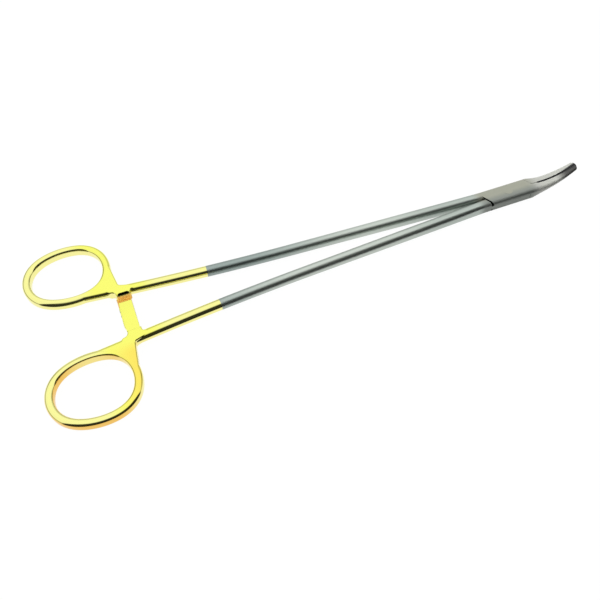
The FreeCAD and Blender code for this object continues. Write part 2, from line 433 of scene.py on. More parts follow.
@dataclass
class Handle:
    """Finger ring, web, ratchet boss and ratchet bar of one half."""

    shank: Shank
    ring_length: float = 32.8
    ring_breadth: float = 29.2
    band: float = 3.0
    lean: float = 0.32
    shoulder: float = 0.38
    edge: float = 1.1
    crown: float = 0.1
    inner_side_edge: float = 1.45
    inner_side_slope: float = 0.5
    inner_side_spread: float = 1.0
    clear: float = 1.4
    tuck: float = 0.4
    thickness: float = 4.0
    web_edge: float = 0.6
    web_root: float = 0.18
    web_outer_root: float = -0.1
    web_inner_edge: float = 1.9
    web_line: float = 2.3
    web_crook: float = 1.8
    web_bend: float = 1.98
    web_sink: float = 0.02
    web_fade: float = 1.0
    web_corner: float = 1.2
    web_outer_lead: float = 0.6
    web_outer_slant: float = 1.9
    ratchet_back: float = 163.4
    boss_stand: float = 1.65
    boss_lead: float = 0.5
    boss_crook: float = 1.0
    boss_taper: float = 2.6
    boss_corner: float = 0.25
    boss_edge: float = 0.6
    boss_fade: float = 0.8
    bar_root: float = 0.6
    bar_width: float = 4.8
    bar_end_gap: float = 3.1
    bar_ledge: float = 0.0
    bar_edge: float = 0.12
    bar_lower_round: float = 0.2
    bar_upper_round: float = 0.1
    crest_round: float = 0.05
    tooth_count: int = 4
    tooth_pitch: float = 2.1
    tooth_depth: float = 0.6
    tooth_ramp: float = 0.85
    crest_gap: float = 0.14
    ring_points: int = 288
    ring_arc_points: int = 12
    line_points: int = 24
    ratchet_side: float = field(init=False)
    ring_back: float = field(init=False)
    ring_side: float = field(init=False)
    boss_face: float = field(init=False)

    def __post_init__(self) -> None:
        """Works out where the ring and the boss lie."""
        self.ratchet_side = float(self.shank.side(np.array([self.ratchet_back]))[0])
        self.ring_back = self.ratchet_back + self.clear + self.ring_length / 2
        self.ring_side = self.ratchet_side + self.ring_breadth / 2 - self.tuck
        self.boss_face = self.ratchet_side - self.shank.diameter / 2 - self.boss_stand

    def ring_line(self) -> tuple[np.ndarray, np.ndarray]:
        """Middle line of the band and its outward normals.

        An ellipse whose breadth has a second and a third harmonic added, which lean it
        towards the shank and square its sides. The normals are square to its derivative.

        Returns:
            Points and unit normals, by row.
        """
        turn = 2 * np.pi * np.arange(self.ring_points) / self.ring_points
        half_long = (self.ring_length - self.band) / 2
        half_wide = (self.ring_breadth - self.band) / 2
        x = half_long * np.cos(turn)
        y = half_wide * np.sin(turn) + self.lean * np.sin(2 * turn)
        y += self.shoulder * np.sin(3 * turn)
        slope_x = -half_long * np.sin(turn)
        slope_y = half_wide * np.cos(turn) + 2 * self.lean * np.cos(2 * turn)
        slope_y += 3 * self.shoulder * np.cos(3 * turn)
        normal = np.stack([slope_y, -slope_x], axis=1)
        normal /= np.linalg.norm(normal, axis=1)[:, None]
        return np.stack([x - self.ring_back, y + self.ring_side], axis=1), normal

    def ring(self) -> Solid:
        """Band carried along the ring's middle line.

        Its section is a rectangle with round corners whose faces fall away towards the
        sides by the crown times the squared share of the half width. Towards the other
        half's ring, by a bell curve over the angle, the outer corners are rounder and the
        crest moves inwards, most in the middle of the band and not at all at its sides.

        Returns:
            The ring on the +Y side.
        """
        line, normal = self.ring_line()
        half_band, half_thick = self.band / 2, self.thickness / 2
        turn = 2 * np.pi * np.arange(self.ring_points) / self.ring_points - 1.5 * np.pi
        near = np.exp(-(np.arctan2(np.sin(turn), np.cos(turn)) / self.inner_side_spread) ** 2)
        halves = [np.full(self.ring_points, half) for half in (half_band, half_thick)]
        rounder = self.edge + (self.inner_side_edge - self.edge) * near
        inner = rounded_rectangle(*halves, np.full_like(near, self.edge), self.ring_arc_points)
        outer = rounded_rectangle(*halves, rounder, self.ring_arc_points)
        across, up = np.where(outer[0] > 0, outer, inner)
        across = across - self.inner_side_slope * near[:, None] * (1 - (across / half_band) ** 2)
        fall = self.crown * (across / half_band) ** 2 * (np.abs(up) / half_thick) ** 4
        up = up - np.sign(up) * fall
        plan = line[:, None, :] + normal[:, None, :] * across[:, :, None]
        return lofted(np.concatenate([plan, up[:, :, None]], axis=2), rows_closed=True)

    def web_and_boss(self) -> Solid:
        """Flat web from the ring to the shank, with the boss that carries the bar.

        Its rim is rounder along the ring's inner side and along the boss's face, and eases
        to the usual edge where these end.

        Returns:
            The web on the +Y side, open to the ring's middle line.
        """
        front = -(self.ratchet_back - self.bar_width / 2 - self.boss_lead)
        rear = -(self.ratchet_back + self.bar_width / 2)
        inner_side = self.ring_side - (self.ring_breadth - self.band) / 2
        outer_side = self.ratchet_side + self.shank.diameter / 2
        web_front = -(self.ratchet_back + self.web_outer_lead)
        root = -(self.ring_back + self.web_root * self.ring_length)
        bar_side = inner_side - self.web_line
        bend = rear - self.web_bend
        along_ring = [(x, float(np.interp(x, [root, rear], [inner_side, bar_side])), 0.0)
                      for x in np.linspace(root, bend, self.line_points)]
        face_ends = (rear + self.boss_corner, front - self.boss_corner)
        along_boss = [(x, self.boss_face, 0.0)
                      for x in np.linspace(*face_ends, self.line_points)[1:-1]]
        outline = filleted([
            *along_ring,
            (rear, bar_side, self.web_crook),
            (rear, self.boss_face, self.boss_corner),
            *along_boss,
            (front, self.boss_face, self.boss_corner),
            (front, self.ratchet_side - self.shank.diameter / 2, self.boss_crook),
            (front + self.boss_taper, self.ratchet_side - self.shank.diameter / 4, 0.0),
            (front + self.boss_taper, self.ratchet_side, 0.0),
            (web_front, outer_side, self.web_corner),
            (web_front - self.web_outer_slant,
             self.ring_side - self.web_outer_root * self.ring_breadth, 0.0),
            (-self.ring_back, self.ring_side, 0.0),
        ])
        half_height = self.thickness / 2 - self.web_sink
        fade = np.clip((bend - outline[:, 0]) / self.web_fade, 0.0, 1.0)
        along_inner = outline[:, 1] < inner_side + self.web_edge
        rounder = np.where(along_inner, fade * fade * (3 - 2 * fade), 0.0)
        edge = self.web_edge + (self.web_inner_edge - self.web_edge) * rounder
        from_end = np.minimum(outline[:, 0] - face_ends[0], face_ends[1] - outline[:, 0])
        on_face = outline[:, 1] < self.boss_face + self.boss_corner / 2
        worn_edge_and_slit_shade = np.clip(from_end / self.boss_fade, 0.0, 1.0) * on_face
        edge = edge + (self.boss_edge - self.web_edge) * worn_edge_and_slit_shade
        block = slab(outline, -half_height, half_height, edge, arc_points=10)
        line, _ = self.ring_line()
        return block - slab(line, -self.thickness, self.thickness)

    def bar(self) -> Solid:
        """Bar that reaches past the middle, with saw teeth on its upper face.

        Returns:
            The bar of the half on the +Y side.
        """
        half_thick = self.thickness / 2
        crest = -self.crest_gap / 2
        floor = crest - self.tooth_depth
        start = -self.tooth_count * self.tooth_pitch / 2
        end = -(self.boss_face - self.bar_end_gap)
        inside, outside = self.boss_face + self.bar_root, self.boss_face - self.bar_root
        profile = [(end, -half_thick, self.bar_lower_round), (inside, -half_thick, 0.0)]
        profile += [(inside, crest, 0.0), (outside, crest, 0.0)]
        profile += [(outside, floor, 0.0), (-start, floor, 0.0)]
        for tooth in reversed(range(self.tooth_count)):
            foot = start + tooth * self.tooth_pitch
            top = foot + self.tooth_ramp * self.tooth_pitch
            profile += [(top, crest, self.crest_round), (foot, floor, 0.0)]
        profile += [(end, floor, self.bar_upper_round)]
        rear = -self.ratchet_back - self.bar_width / 2 - self.bar_ledge
        front = -self.ratchet_back + self.bar_width / 2
        upright = slab(filleted(profile, arc_points=5), rear, front, self.bar_edge, arc_points=4)
        return upright.moved(np.array([[0.0, 0.0, 1.0], [1.0, 0.0, 0.0], [0.0, 1.0, 0.0]]))

    def solid(self) -> Solid:
        """Ring, web, boss, bar and shank as one forging, on the +Y side."""
        return self.ring() | self.web_and_boss() | self.bar() | self.shank.solid()


@dataclass
class BoxLock:
    """Box, tongue and slot of the lock, and the closed jaws in front of it."""

    box: BoxSize = BoxSize()
    edge: float = 1.6
    crown: float = 0.12
    shoulder_run: float = 2.2
    rear_gap: float = 1.0
    front_gap: float = 0.12
    slot_half: float = 1.0
    slide_clearance: float = 0.05
    wall_clearance: float = 0.25
    tip_reach: float = 33.5
    bend_start: float = 13.0
    bend_radius: float = 38.0
    root_half_width: float = 3.8
    step_power: float = 8.0
    tip_half_width: float = 2.15
    tip_round: float = 1.3
    tip_thickness: float = 1.7
    thickness_power: float = 1.8
    width_power: float = 1.5
    jaw_round: float = 0.45
    fullness: float = 0.9
    nose_flatness: float = 0.5
    face_gap: float = 0.15
    insert_back: float = 15.0
    insert_swell: float = 25.0
    insert_root_thickness: float = 0.3
    insert_tip_thickness: float = 0.85
    far: float = 67.0
    box_stations: int = 12
    jaw_stations: int = 64
    nose_stations: int = 16
    arc_points: int = 14

    def front(self) -> Solid:
        """Box and both jaws as one closed lump.

        Rectangles with round corners stand across a middle line that runs straight and
        then along a circle that curves up. From the box to the nose their thickness falls
        with a power of the way left to go and their width with a power of the way gone.
        Over the nose both follow quarter ellipses. The faces fall away towards the sides
        by the crown times the squared share of the half width.

        Returns:
            The lump, before it is divided between the halves.
        """
        length, height = self.box.length, self.box.height
        box_x = np.linspace(-length - 2 * self.shoulder_run, length, self.box_stations)
        along = np.linspace(0, 1, self.jaw_stations)[1:]
        jaw_length = self.tip_reach - self.tip_round - length
        share = np.sin(np.linspace(0, np.pi / 2, self.nose_stations)[1:-1])
        x = np.concatenate([box_x, length + along * jaw_length,
                            np.full(share.size, length + jaw_length)])
        ahead = np.concatenate([np.zeros(box_x.size), along, np.ones(share.size)])
        beyond = np.concatenate([np.zeros(x.size - share.size), share])
        turn = np.arcsin(np.maximum(0.0, x - self.bend_start) / self.bend_radius)
        heading = np.stack([np.cos(turn), np.zeros_like(turn), np.sin(turn)], axis=1)
        up = np.stack([-np.sin(turn), np.zeros_like(turn), np.cos(turn)], axis=1)
        centre = np.stack([x, np.zeros_like(x), self.bend_radius * (1 - np.cos(turn))], axis=1)
        centre += heading * (beyond * self.tip_round)[:, None]
        thick = (2 * height - self.tip_thickness) * (1 - ahead) ** self.thickness_power
        thick += self.tip_thickness
        width = (self.root_half_width - self.tip_half_width) * (1 - ahead ** self.width_power)
        width += self.tip_half_width
        width += (self.box.width - self.root_half_width) * (1 - ahead) ** self.step_power
        width *= np.sqrt(1 - beyond ** 2)
        tall = thick / 2 * np.sqrt(1 - (self.nose_flatness * beyond) ** 2)
        radius = np.minimum.reduce([np.full(x.size, self.edge), self.jaw_round * thick,
                                    self.fullness * width, self.fullness * tall])
        across, rise = rounded_rectangle(width, tall, radius, self.arc_points)
        fall = self.crown * (tall / height)[:, None] * (across / width[:, None]) ** 2
        rise = rise - np.sign(rise) * fall * (np.abs(rise) / tall[:, None]) ** 4
        points = centre[:, None, :] + up[:, None, :] * rise[:, :, None]
        points[:, :, 1] += across
        return lofted(points)

    def shoulder_block(self, lean: int, margins: Span, low: float, high: float) -> Solid:
        """Slanted block between the two shoulder lines.

        Args:
            lean: 1 or -1, the way that the lines lean.
            margins: How far outside the rear and the front line the block reaches.
            low: Height of its lower face.
            high: Height of its upper face.

        Returns:
            The block.
        """
        slant = self.shoulder_run / self.box.width
        rear, front = -(self.box.length + margins[0]), self.box.length + margins[1]
        corners = [(along + lean * slant * side * self.far, side * self.far)
                   for along, side in ((rear, -1), (front, -1), (front, 1), (rear, 1))]
        return slab(np.array(corners), low, high)

    def share(self) -> Solid:
        """One half's share of the box and jaws, before the slot or the tongue is cut.

        Returns:
            The share of the half whose jaw is at -Y.
        """
        far, gap = self.far, self.face_gap
        jaw_side = slab(np.array([(0, -far), (far, -far), (far, -gap), (0, -gap)]), -far, far)
        return self.front() & (self.shoulder_block(-1, (0, 0), -far, far) | jaw_side)

    def insert_block(self) -> Solid:
        """Block that the insert is cut from, behind the gripping face.

        Returns:
            The block for the jaw at -Y.
        """
        face = -self.face_gap
        root, tip = face - self.insert_root_thickness, face - self.insert_tip_thickness
        corners = [(self.insert_back, root), (self.insert_swell, root), (self.tip_reach, tip)]
        corners += [(self.far, tip), (self.far, face), (self.insert_back, face)]
        return slab(np.array(corners), -self.far, self.far)

    def insert(self) -> Solid:
        """Hard-metal insert of the jaw at -Y."""
        return self.front() & self.insert_block()


@dataclass
class LockPin:
    """Pin through the box, with its ends spread into countersinks."""

    radius: float = 1.5
    clearance: float = 0.05
    rivet_radius: float = 1.9
    rivet_depth: float = 0.6
    box: BoxSize = BoxSize()
    round_points: int = 96

    def solid(self) -> Solid:
        """Straight body whose radius grows evenly towards both ends, turned about Z."""
        step = self.box.height - self.rivet_depth
        return self.turned([-self.box.height, -step, step, self.box.height],
                           [self.rivet_radius, self.radius, self.radius, self.rivet_radius])

    def bore(self) -> Solid:
        """What the tongue's bore is cut with."""
        wide = self.radius + self.clearance
        return self.turned([-2 * self.box.height, 2 * self.box.height], [wide, wide])

    def turned(self, heights: list[float], radii: list[float]) -> Solid:
        """Circles of given radii at given heights, joined by straight walls.

        Args:
            heights: Height of each circle.
            radii: Radius of each circle.

        Returns:
            The turned solid.
        """
        turn = 2 * np.pi * np.arange(self.round_points) / self.round_points
        wide = np.array(radii)[:, None]
        height = np.broadcast_to(np.array(heights)[:, None], (len(heights), turn.size))
        return lofted(np.stack([wide * np.cos(turn), wide * np.sin(turn), height], axis=-1))


# ---- shader helpers ----

class Wire:
    """Shader socket that takes part in sums as a number does."""

    def __init__(self, graph: "Graph", socket: bpy.types.NodeSocket) -> None:
        """Keeps a socket and the graph that it is in."""
        self.graph = graph
        self.socket = socket

    def maths(self, operation: str, first: "Wire | float", second: "Wire | float") -> "Wire":
        """Adds a Math node and gives its result."""
        return self.graph.node("Math", {0: first, 1: second}, {"operation": operation}).out()

    def __add__(self, other: "Wire | float") -> "Wire":
        """This plus the other."""
        return self.maths("ADD", self, other)

    __radd__ = __add__

    def __sub__(self, other: "Wire | float") -> "Wire":
        """This less the other."""
        return self.maths("SUBTRACT", self, other)

    def __rsub__(self, other: float) -> "Wire":
        """The other less this."""
        return self.maths("SUBTRACT", other, self)

    def __mul__(self, other: "Wire | float") -> "Wire":
        """This times the other."""
        return self.maths("MULTIPLY", self, other)

    __rmul__ = __mul__

    def __abs__(self) -> "Wire":
        """This without its sign."""
        return self.maths("ABSOLUTE", self, 0.0)


class Placed:
    """Node in a graph whose outputs are read as wires."""

    def __init__(self, graph: "Graph", node: bpy.types.Node) -> None:
        """Keeps a node and its graph."""
        self.graph = graph
        self.node = node

    def out(self, name: str | int = 0) -> Wire:
        """The wire from one output."""
        return Wire(self.graph, self.node.outputs[name])


class Graph:
    """Node tree of a material or the world."""

    def __init__(self, owner: bpy.types.Material | bpy.types.World) -> None:
        """Empties the owner's node tree.

        Args:
            owner: The material or world.
        """
        owner.use_nodes = True
        self.tree = owner.node_tree
        self.tree.nodes.clear()

    def node(self, kind: str, inputs: dict | None = None, settings: dict | None = None) -> Placed:
        """Adds a node.

        Args:
            kind: Type of the node, without the prefix ShaderNode.
            inputs: Values or wires by the name or number of its sockets.
            settings: Its settings by name.

        Returns:
            The node.
        """
        made = self.tree.nodes.new("ShaderNode" + kind)
        for name, value in (settings or {}).items():
            setattr(made, name, value)
        for name, value in (inputs or {}).items():
            if isinstance(value, Wire):
                self.tree.links.new(value.socket, made.inputs[name])
            else:
                made.inputs[name].default_value = value
        return Placed(self, made)

    def between(self, value: Wire, low: float, high: float) -> Wire:
        """Smooth step of a value from 0 at low to 1 at high."""
        return self.node("MapRange", {"Value": value, "From Min": low, "From Max": high},
                         {"interpolation_type": "SMOOTHSTEP"}).out()

    def blend(self, share: Wire, first: Wire | Colour, second: Wire | Colour) -> Wire:
        """Colour between a first and a second one."""
        return self.node("Mix", {0: share, 6: first, 7: second}, {"data_type": "RGBA"}).out(2)

    def coordinates(self, kind: str = "Object") -> Wire:
        """Texture coordinates of one kind."""
        return self.node("TexCoord").out(kind)

    def split(self, vector: Wire) -> dict[str, Wire]:
        """A vector's parts by axis."""
        parts = self.node("SeparateXYZ", {0: vector})
        return {axis: parts.out(axis) for axis in "XYZ"}


# ---- finishes ----

@dataclass(frozen=True)
class Marks:
    """Fine marks: noise of a scale and a detail, at stretched places."""

    scale: float
    detail: float = 4.0
    stretch: tuple[float, float, float] = (1.0, 1.0, 1.0)


class Surface(Graph):
    """Graph of a new metal."""

    bump_depth: float = 0.1

    def __init__(self, name: str) -> None:
        """Makes the material."""
        self.material = bpy.data.materials.new(name)
        super().__init__(self.material)

    @cached_property
    def place(self) -> dict[str, Wire]:
        """Object coordinates by axis."""
        return self.split(self.coordinates())

    def zone(self, *borders: Border) -> Wire:
        """Mask with soft borders, the product of a smooth step over each.

        Args:
            borders: Each an axis and the places along it, in millimetres, where the zone
                starts to show and where it is full.

        Returns:
            1 in the zone and 0 outside.
        """
        steps = [self.between(self.place[axis], start * MM, full * MM)
                 for axis, start, full in borders]
        return math.prod(steps[1:], start=steps[0])

    def noise(self, marks: Marks) -> Wire:
        """Noise from 0 to 1."""
        place = self.node("Mapping", {"Vector": self.coordinates(), "Scale": marks.stretch})
        return self.node("TexNoise", {
            "Vector": place.out(), "Scale": marks.scale, "Detail": marks.detail}).out(0)

    def metal(self, colour: Wire, roughness: Wire, height: Wire, strength: float,
              metallic: Wire | float = 1.0) -> bpy.types.Material:
        """Ends the graph with its shader and a fine bump.

        Args:
            colour: Colour of the metal.
            roughness: Its roughness.
            height: Height of its surface marks.
            strength: How strongly they show.
            metallic: How much of it is metal.

        Returns:
            The material.
        """
        bump = self.node("Bump", {
            "Height": height, "Strength": strength, "Distance": self.bump_depth * MM})
        shader = self.node("BsdfPrincipled", {"Base Color": colour, "Roughness": roughness,
                                              "Metallic": metallic, "Normal": bump.out()})
        self.node("OutputMaterial", {"Surface": shader.out()})
        return self.material


@dataclass(frozen=True)
class GoldPlate:
    """Polished gold plate: pale on the faces, more orange on the sides and the ring at -Y, which
    is painted reflection.

    The pocket lies next to the upper boss, where the bars pass over each other. Its bright
    orange there, partly diffuse, is painted reflected light.
    """

    face: Colour = (0.95, 0.93, 0.34, 1.0)
    web_face: Colour = (0.95, 0.96, 0.18, 1.0)
    # Painted reflection: the sides take this colour in place of the face colour, and the ring at
    # -Y takes the two orange colours below.
    side: Colour = (0.93, 0.88, 0.34, 1.0)
    painted_reflection_face: Colour = (0.98, 0.79, 0.13, 1.0)
    painted_reflection_side: Colour = (0.87, 0.53, 0.11, 1.0)
    # Painted reflected light: the bright orange of the pocket.
    pocket: Colour = (1.0, 0.66, 0.16, 1.0)
    roughness: float = 0.07
    roughness_spread: float = 0.04
    pocket_roughness: float = 0.7
    painted_pocket_light_share: float = 0.7
    flat_normal: Span = (0.25, 0.9)
    painted_reflection_zone: Border = ("Y", -12.0, -18.0)
    painted_warm_reflection_zone: Border = ("X", -176.0, -164.0)
    web_zone: tuple[Border, ...] = (("X", -180.0, -172.0), ("X", -150.0, -158.0))
    pocket_zone: tuple[Border, ...] = (("Y", 4.5, 4.8), ("Y", 8.3, 7.9), ("Z", 4.6, 4.2),
                                       ("X", -155.5, -156.0))


@dataclass(frozen=True)
class SatinSteel:
    """Fine-ground steel of the shanks, with a grain along them.

    It grows lighter from the gold on, later on the shank at +Y, and a little darker again
    near the box, where the darkening is painted shade.
    """

    light: Colour = (0.66, 0.72, 0.65, 1.0)
    dark: Colour = (0.33, 0.40, 0.38, 1.0)
    # Painted shade: the sides of the bare and the blasted steel are darkened to this share of
    # their colour.
    painted_side_shade: float = 0.8
    roughness: float = 0.34
    roughness_spread: float = 0.08
    grain: Marks = Marks(4.0, stretch=(40.0, 900.0, 900.0))
    grain_share: float = 0.2
    bright_x: Span = (-150.0, -95.0)
    late_shift: float = 30.0
    late_zone: Border = ("Y", -0.5, 0.5)
    painted_shade_zone: Border = ("X", -60.0, -30.0)
    painted_shade_share: float = 0.4


@dataclass(frozen=True)
class MattCheek:
    """Grit-blasted steel of the box and jaws, with near-black painted shade in the gaps at the
    shoulders.

    The walls of a gap face along X, and its bed, the tongue, faces up or down.
    """

    light: Colour = (0.61, 0.62, 0.53, 1.0)
    dark: Colour = (0.53, 0.54, 0.45, 1.0)
    # Painted shade: the half of the box and jaws at -Y takes this darker colour.
    near: Colour = (0.41, 0.44, 0.405, 1.0)
    jaw: Colour = (0.88, 0.89, 0.84, 1.0)
    # Painted shade: this dark colour lies along the slit near the tips of the jaw at -Y.
    worn_edge_and_slit_shade: Colour = (0.22, 0.22, 0.21, 1.0)
    # Painted shade: this near-black colour goes on the walls and bed of the gaps at the
    # shoulders.
    scale: Colour = (0.03, 0.035, 0.03, 1.0)
    roughness: float = 0.6
    jaw_roughness: float = 0.75
    roughness_spread: float = 0.08
    bump: float = 0.12
    cloud: Marks = Marks(220.0)
    grit: Marks = Marks(4500.0, 2.0)
    zone: Border = ("X", -17.0, -12.0)
    painted_near_shade_zone: Border = ("Y", 0.5, -3.0)
    jaw_zone: Border = ("X", 9.0, 16.0)
    painted_slit_shade_zone: tuple[Border, ...] = (("X", 23.0, 29.0), ("Y", -0.2, -0.8))
    gap_shade_wall_zone: Border = ("X", -6.0, -6.5)
    gap_shade_wall_normal: Span = (0.5, 0.6)
    gap_shade_bed_zone: tuple[Border, ...] = (("X", -13.6, -13.4), ("X", 13.6, 13.4), ("Z", 1.6, 1.7),
                                    ("Z", 3.9, 3.8))
    gap_shade_bed_normal: Span = (0.7, 0.8)


@dataclass(frozen=True)
class HardMetal:
    """Dark tungsten carbide with a fine ground grain."""

    light: Colour = (0.09, 0.09, 0.09, 1.0)
    dark: Colour = (0.05, 0.05, 0.05, 1.0)
    roughness: float = 0.4
    roughness_spread: float = 0.1
    bump: float = 0.15
    cloud: Marks = Marks(600.0)
    grit: Marks = Marks(5000.0, 2.0)


@dataclass(frozen=True)
class PlatingLine:
    """Where the gold ends: square across each shank."""

    back: float = 131.0
    side: float = 8.5
    angle: float = 4.6
    softness: float = 0.12

    def mask(self, surface: Surface) -> Wire:
        """1 on the gold, 0 on the steel: a step over the distance back along the shank.

        Args:
            surface: The forging's graph.

        Returns:
            The mask.
        """
        lean = math.radians(self.angle)
        distance = abs(surface.place["Y"]) * math.sin(lean) - surface.place["X"] * math.cos(lean)
        at = self.back * math.cos(lean) + self.side * math.sin(lean)
        return surface.between(distance, (at - self.softness) * MM, (at + self.softness) * MM)


class Finishes:
    """Makes the materials."""

    def clouded(self, name: str, finish: MattCheek | HardMetal) -> bpy.types.Material:
        """Makes a metal of one clouded colour with a fine grit.

        Args:
            name: Name of the material.
            finish: Its finish.

        Returns:
            The material.
        """
        surface = Surface(name)
        cloud = surface.noise(finish.cloud)
        colour = surface.blend(cloud, finish.dark, finish.light)
        roughness = finish.roughness + finish.roughness_spread * cloud
        return surface.metal(colour, roughness, surface.noise(finish.grit), finish.bump)

    def forging(self) -> bpy.types.Material:
        """Makes gold plate at the rear, ground steel on the shanks and blasted steel in front.

        Returns:
            The material of both halves.
        """
        surface = Surface("forged_steel_and_gold_plate")
        blend, between, zone = surface.blend, surface.between, surface.zone
        gold, steel, cheek = GoldPlate(), SatinSteel(), MattCheek()
        normal = surface.split(surface.node("NewGeometry").out("Normal"))
        flatness = between(abs(normal["Z"]), *gold.flat_normal)
        grain, cloud = surface.noise(steel.grain), surface.noise(cheek.cloud)
        plated, front, jaws = PlatingLine().mask(surface), zone(cheek.zone), zone(cheek.jaw_zone)

        ahead = surface.place["X"] - steel.late_shift * MM * zone(steel.late_zone)
        bright = between(ahead, *(place * MM for place in steel.bright_x))
        # Painted shade: the steel turns a little darker again near the box.
        bright = bright * (1 - steel.painted_shade_share * zone(steel.painted_shade_zone))
        share = bright * (1 - steel.grain_share) + grain * steel.grain_share
        blasted = blend(cloud, cheek.dark, cheek.light)
        # Painted shade: the blasted steel darkens towards -Y.
        blasted = blend(zone(cheek.painted_near_shade_zone), blasted, cheek.near)
        # Painted shade: the jaw at -Y darkens along the slit near its tips.
        blasted = blend(zone(*cheek.painted_slit_shade_zone), blend(jaws, blasted, cheek.jaw), cheek.worn_edge_and_slit_shade)
        bare = blend(front, blend(share, steel.dark, steel.light), blasted)
        # Painted shade: where the normal lies across, on the sides, the bare steel is darkened.
        shaded = surface.node("VectorMath", {0: bare, "Scale": steel.painted_side_shade},
                              {"operation": "SCALE"})
        bare = blend(flatness, shaded.out(), bare)
        # Painted shade: the walls and bed of the gaps at the shoulders turn near black.
        walls = between(abs(normal["X"]), *cheek.gap_shade_wall_normal) * zone(cheek.gap_shade_wall_zone)
        bed = between(abs(normal["Z"]), *cheek.gap_shade_bed_normal) * zone(*cheek.gap_shade_bed_zone)
        bare = blend(front * walls + bed, bare, cheek.scale)

        # Painted reflection: the sides differ from the faces by their normal, and the ring at -Y
        # and a patch of its web turn orange by place.
        painted_reflection, pocket = zone(gold.painted_reflection_zone), zone(*gold.pocket_zone)
        painted_warm_reflection = painted_reflection * zone(gold.painted_warm_reflection_zone)
        side = blend(painted_reflection * (1 - painted_warm_reflection), gold.side, gold.painted_reflection_side)
        face = blend(zone(*gold.web_zone), gold.face, gold.web_face)
        gilt = blend(flatness, side, blend(painted_warm_reflection, face, gold.painted_reflection_face))
        # Painted reflected light: the pocket takes its bright orange.
        colour = blend(plated, bare, blend(pocket, gilt, gold.pocket))

        ground = steel.roughness + steel.roughness_spread * grain
        matt = cheek.roughness + (cheek.jaw_roughness - cheek.roughness) * jaws
        matt = matt + cheek.roughness_spread * cloud
        polished = gold.roughness + gold.roughness_spread * cloud
        roughness = (ground * (1 - front) + matt * front) * (1 - plated) + polished * plated
        roughness = roughness + (gold.pocket_roughness - gold.roughness) * pocket * plated
        height = grain * (1 - front) * (1 - plated) + surface.noise(cheek.grit) * front
        # Painted reflected light: in the pocket part of the metal turns to diffuse orange, so
        # that the recess reads bright.
        metallic = 1 - gold.painted_pocket_light_share * pocket
        return surface.metal(colour, roughness, height, cheek.bump, metallic)


# ---- the whole instrument ----

@dataclass(frozen=True)
class Fitting:
    """Where a piece goes: its node, its body and its name; its material slot is not used."""

    node: str
    body: str
    slot: str
    name: str


@dataclass
class NeedleHolder:
    """Both halves, the pin and the inserts."""

    finishes: Finishes
    shank: Shank = field(default_factory=Shank)
    lock: BoxLock = field(default_factory=BoxLock)
    pin: LockPin = field(default_factory=LockPin)
    lower_bar_ledge: float = 0.5
    lower_boss_edge: float = 1.35
    crease_angle: float = 32.0

    def female(self, blank: Solid) -> Solid:
        """Cuts the half whose two cheeks hold the other half's tongue.

        Args:
            blank: The whole forging.

        Returns:
            The half.
        """
        lock = self.lock
        slot = lock.shoulder_block(1, (lock.wall_clearance,) * 2, -lock.slot_half, lock.slot_half)
        return blank - slot - lock.insert_block() - self.pin.solid()

    def male(self, blank: Solid) -> Solid:
        """Cuts the half whose thin tongue passes between the cheeks.

        Args:
            blank: The whole forging.

        Returns:
            The half.
        """
        lock = self.lock
        tongue = lock.slot_half - lock.slide_clearance
        gaps = (lock.rear_gap, lock.front_gap)
        for levels in ((tongue, lock.far), (-lock.far, -tongue)):
            blank = blank - lock.shoulder_block(-1, gaps, *levels)
        return blank - lock.insert_block().mirrored() - self.pin.bore()

    def fitted(self, solid: Solid, material: bpy.types.Material, fitting: Fitting) -> None:
        """Puts a solid into the scene in place of its node.

        Args:
            solid: The solid, in millimetres.
            material: Its material.
            fitting: Where it goes.
        """
        placed = solid.moved(np.eye(3) * MM)
        mesh = placed.mesh
        mesh.name = fitting.name
        mesh.transform(Matrix.Translation((0, 0, self.lock.box.height * MM)))
        mesh.materials.clear()
        mesh.materials.append(material)
        mesh.shade_smooth()
        mesh.set_sharp_from_angle(angle=math.radians(self.crease_angle))
        piece = linked(fitting.name, mesh)
        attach(piece, fitting.body)
        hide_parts(fitting.node)
        mesh.calc_loop_triangles()
        triangles = len(mesh.loop_triangles)
        log.info("%s: %d triangles on body %s", fitting.name, triangles, fitting.body)

    def build(self) -> None:
        """Makes and fits every piece."""
        share, insert = self.lock.share(), self.lock.insert()
        lower = Handle(self.shank, bar_ledge=self.lower_bar_ledge, boss_edge=self.lower_boss_edge)
        upper = Handle(self.shank)
        finishes = self.finishes
        forging = finishes.forging()
        steel = finishes.clouded("pin_steel", MattCheek())
        hard = finishes.clouded("hard_metal", HardMetal())
        self.fitted(self.female(share | lower.solid()), forging,
                    Fitting("female_half", "female", "steel", "cheek_half"))
        self.fitted(self.male(share.mirrored() | upper.solid().turned_over()), forging,
                    Fitting("male_half", "male", "steel", "tongue_half"))
        self.fitted(self.pin.solid(), steel,
                    Fitting("box_lock_pin", "female", "pin_steel", "lock_pin"))
        self.fitted(insert, hard,
                    Fitting("female_jaw_insert", "female", "hard_metal", "cheek_half_insert"))
        self.fitted(insert.mirrored(), hard,
                    Fitting("male_jaw_insert", "male", "hard_metal", "tongue_half_insert"))


# ---- studio ----

@dataclass(frozen=True)
class DarkField:
    """Part of the surroundings that is darker than the rest.

    All angles are in degrees: heights above the horizon, with the run over which the upper
    border fades, and bearings from the camera's side, positive to its right.
    """

    low: float
    high: float
    fade: float
    left: float
    right: float
    softness: float
    depth: float

    def light(self, graph: Graph, height: Wire, bearing: Wire) -> Wire:
        """What is left of the light: 1 outside, less the depth inside, with soft borders.

        Args:
            graph: The world's graph.
            height: Height of the ray in radians.
            bearing: Its bearing in radians.

        Returns:
            The share of the light.
        """
        low, high, fade = (math.radians(v) for v in (self.low, self.high, self.fade))
        left, right, soft = (math.radians(v) for v in (self.left, self.right, self.softness))
        inside = graph.between(height, low - soft / 2, low)
        inside = inside * (1 - graph.between(height, high, high + fade))
        inside = inside * graph.between(bearing, left - soft, left)
        inside = inside * (1 - graph.between(bearing, right, right + soft))
        return 1 - self.depth * inside


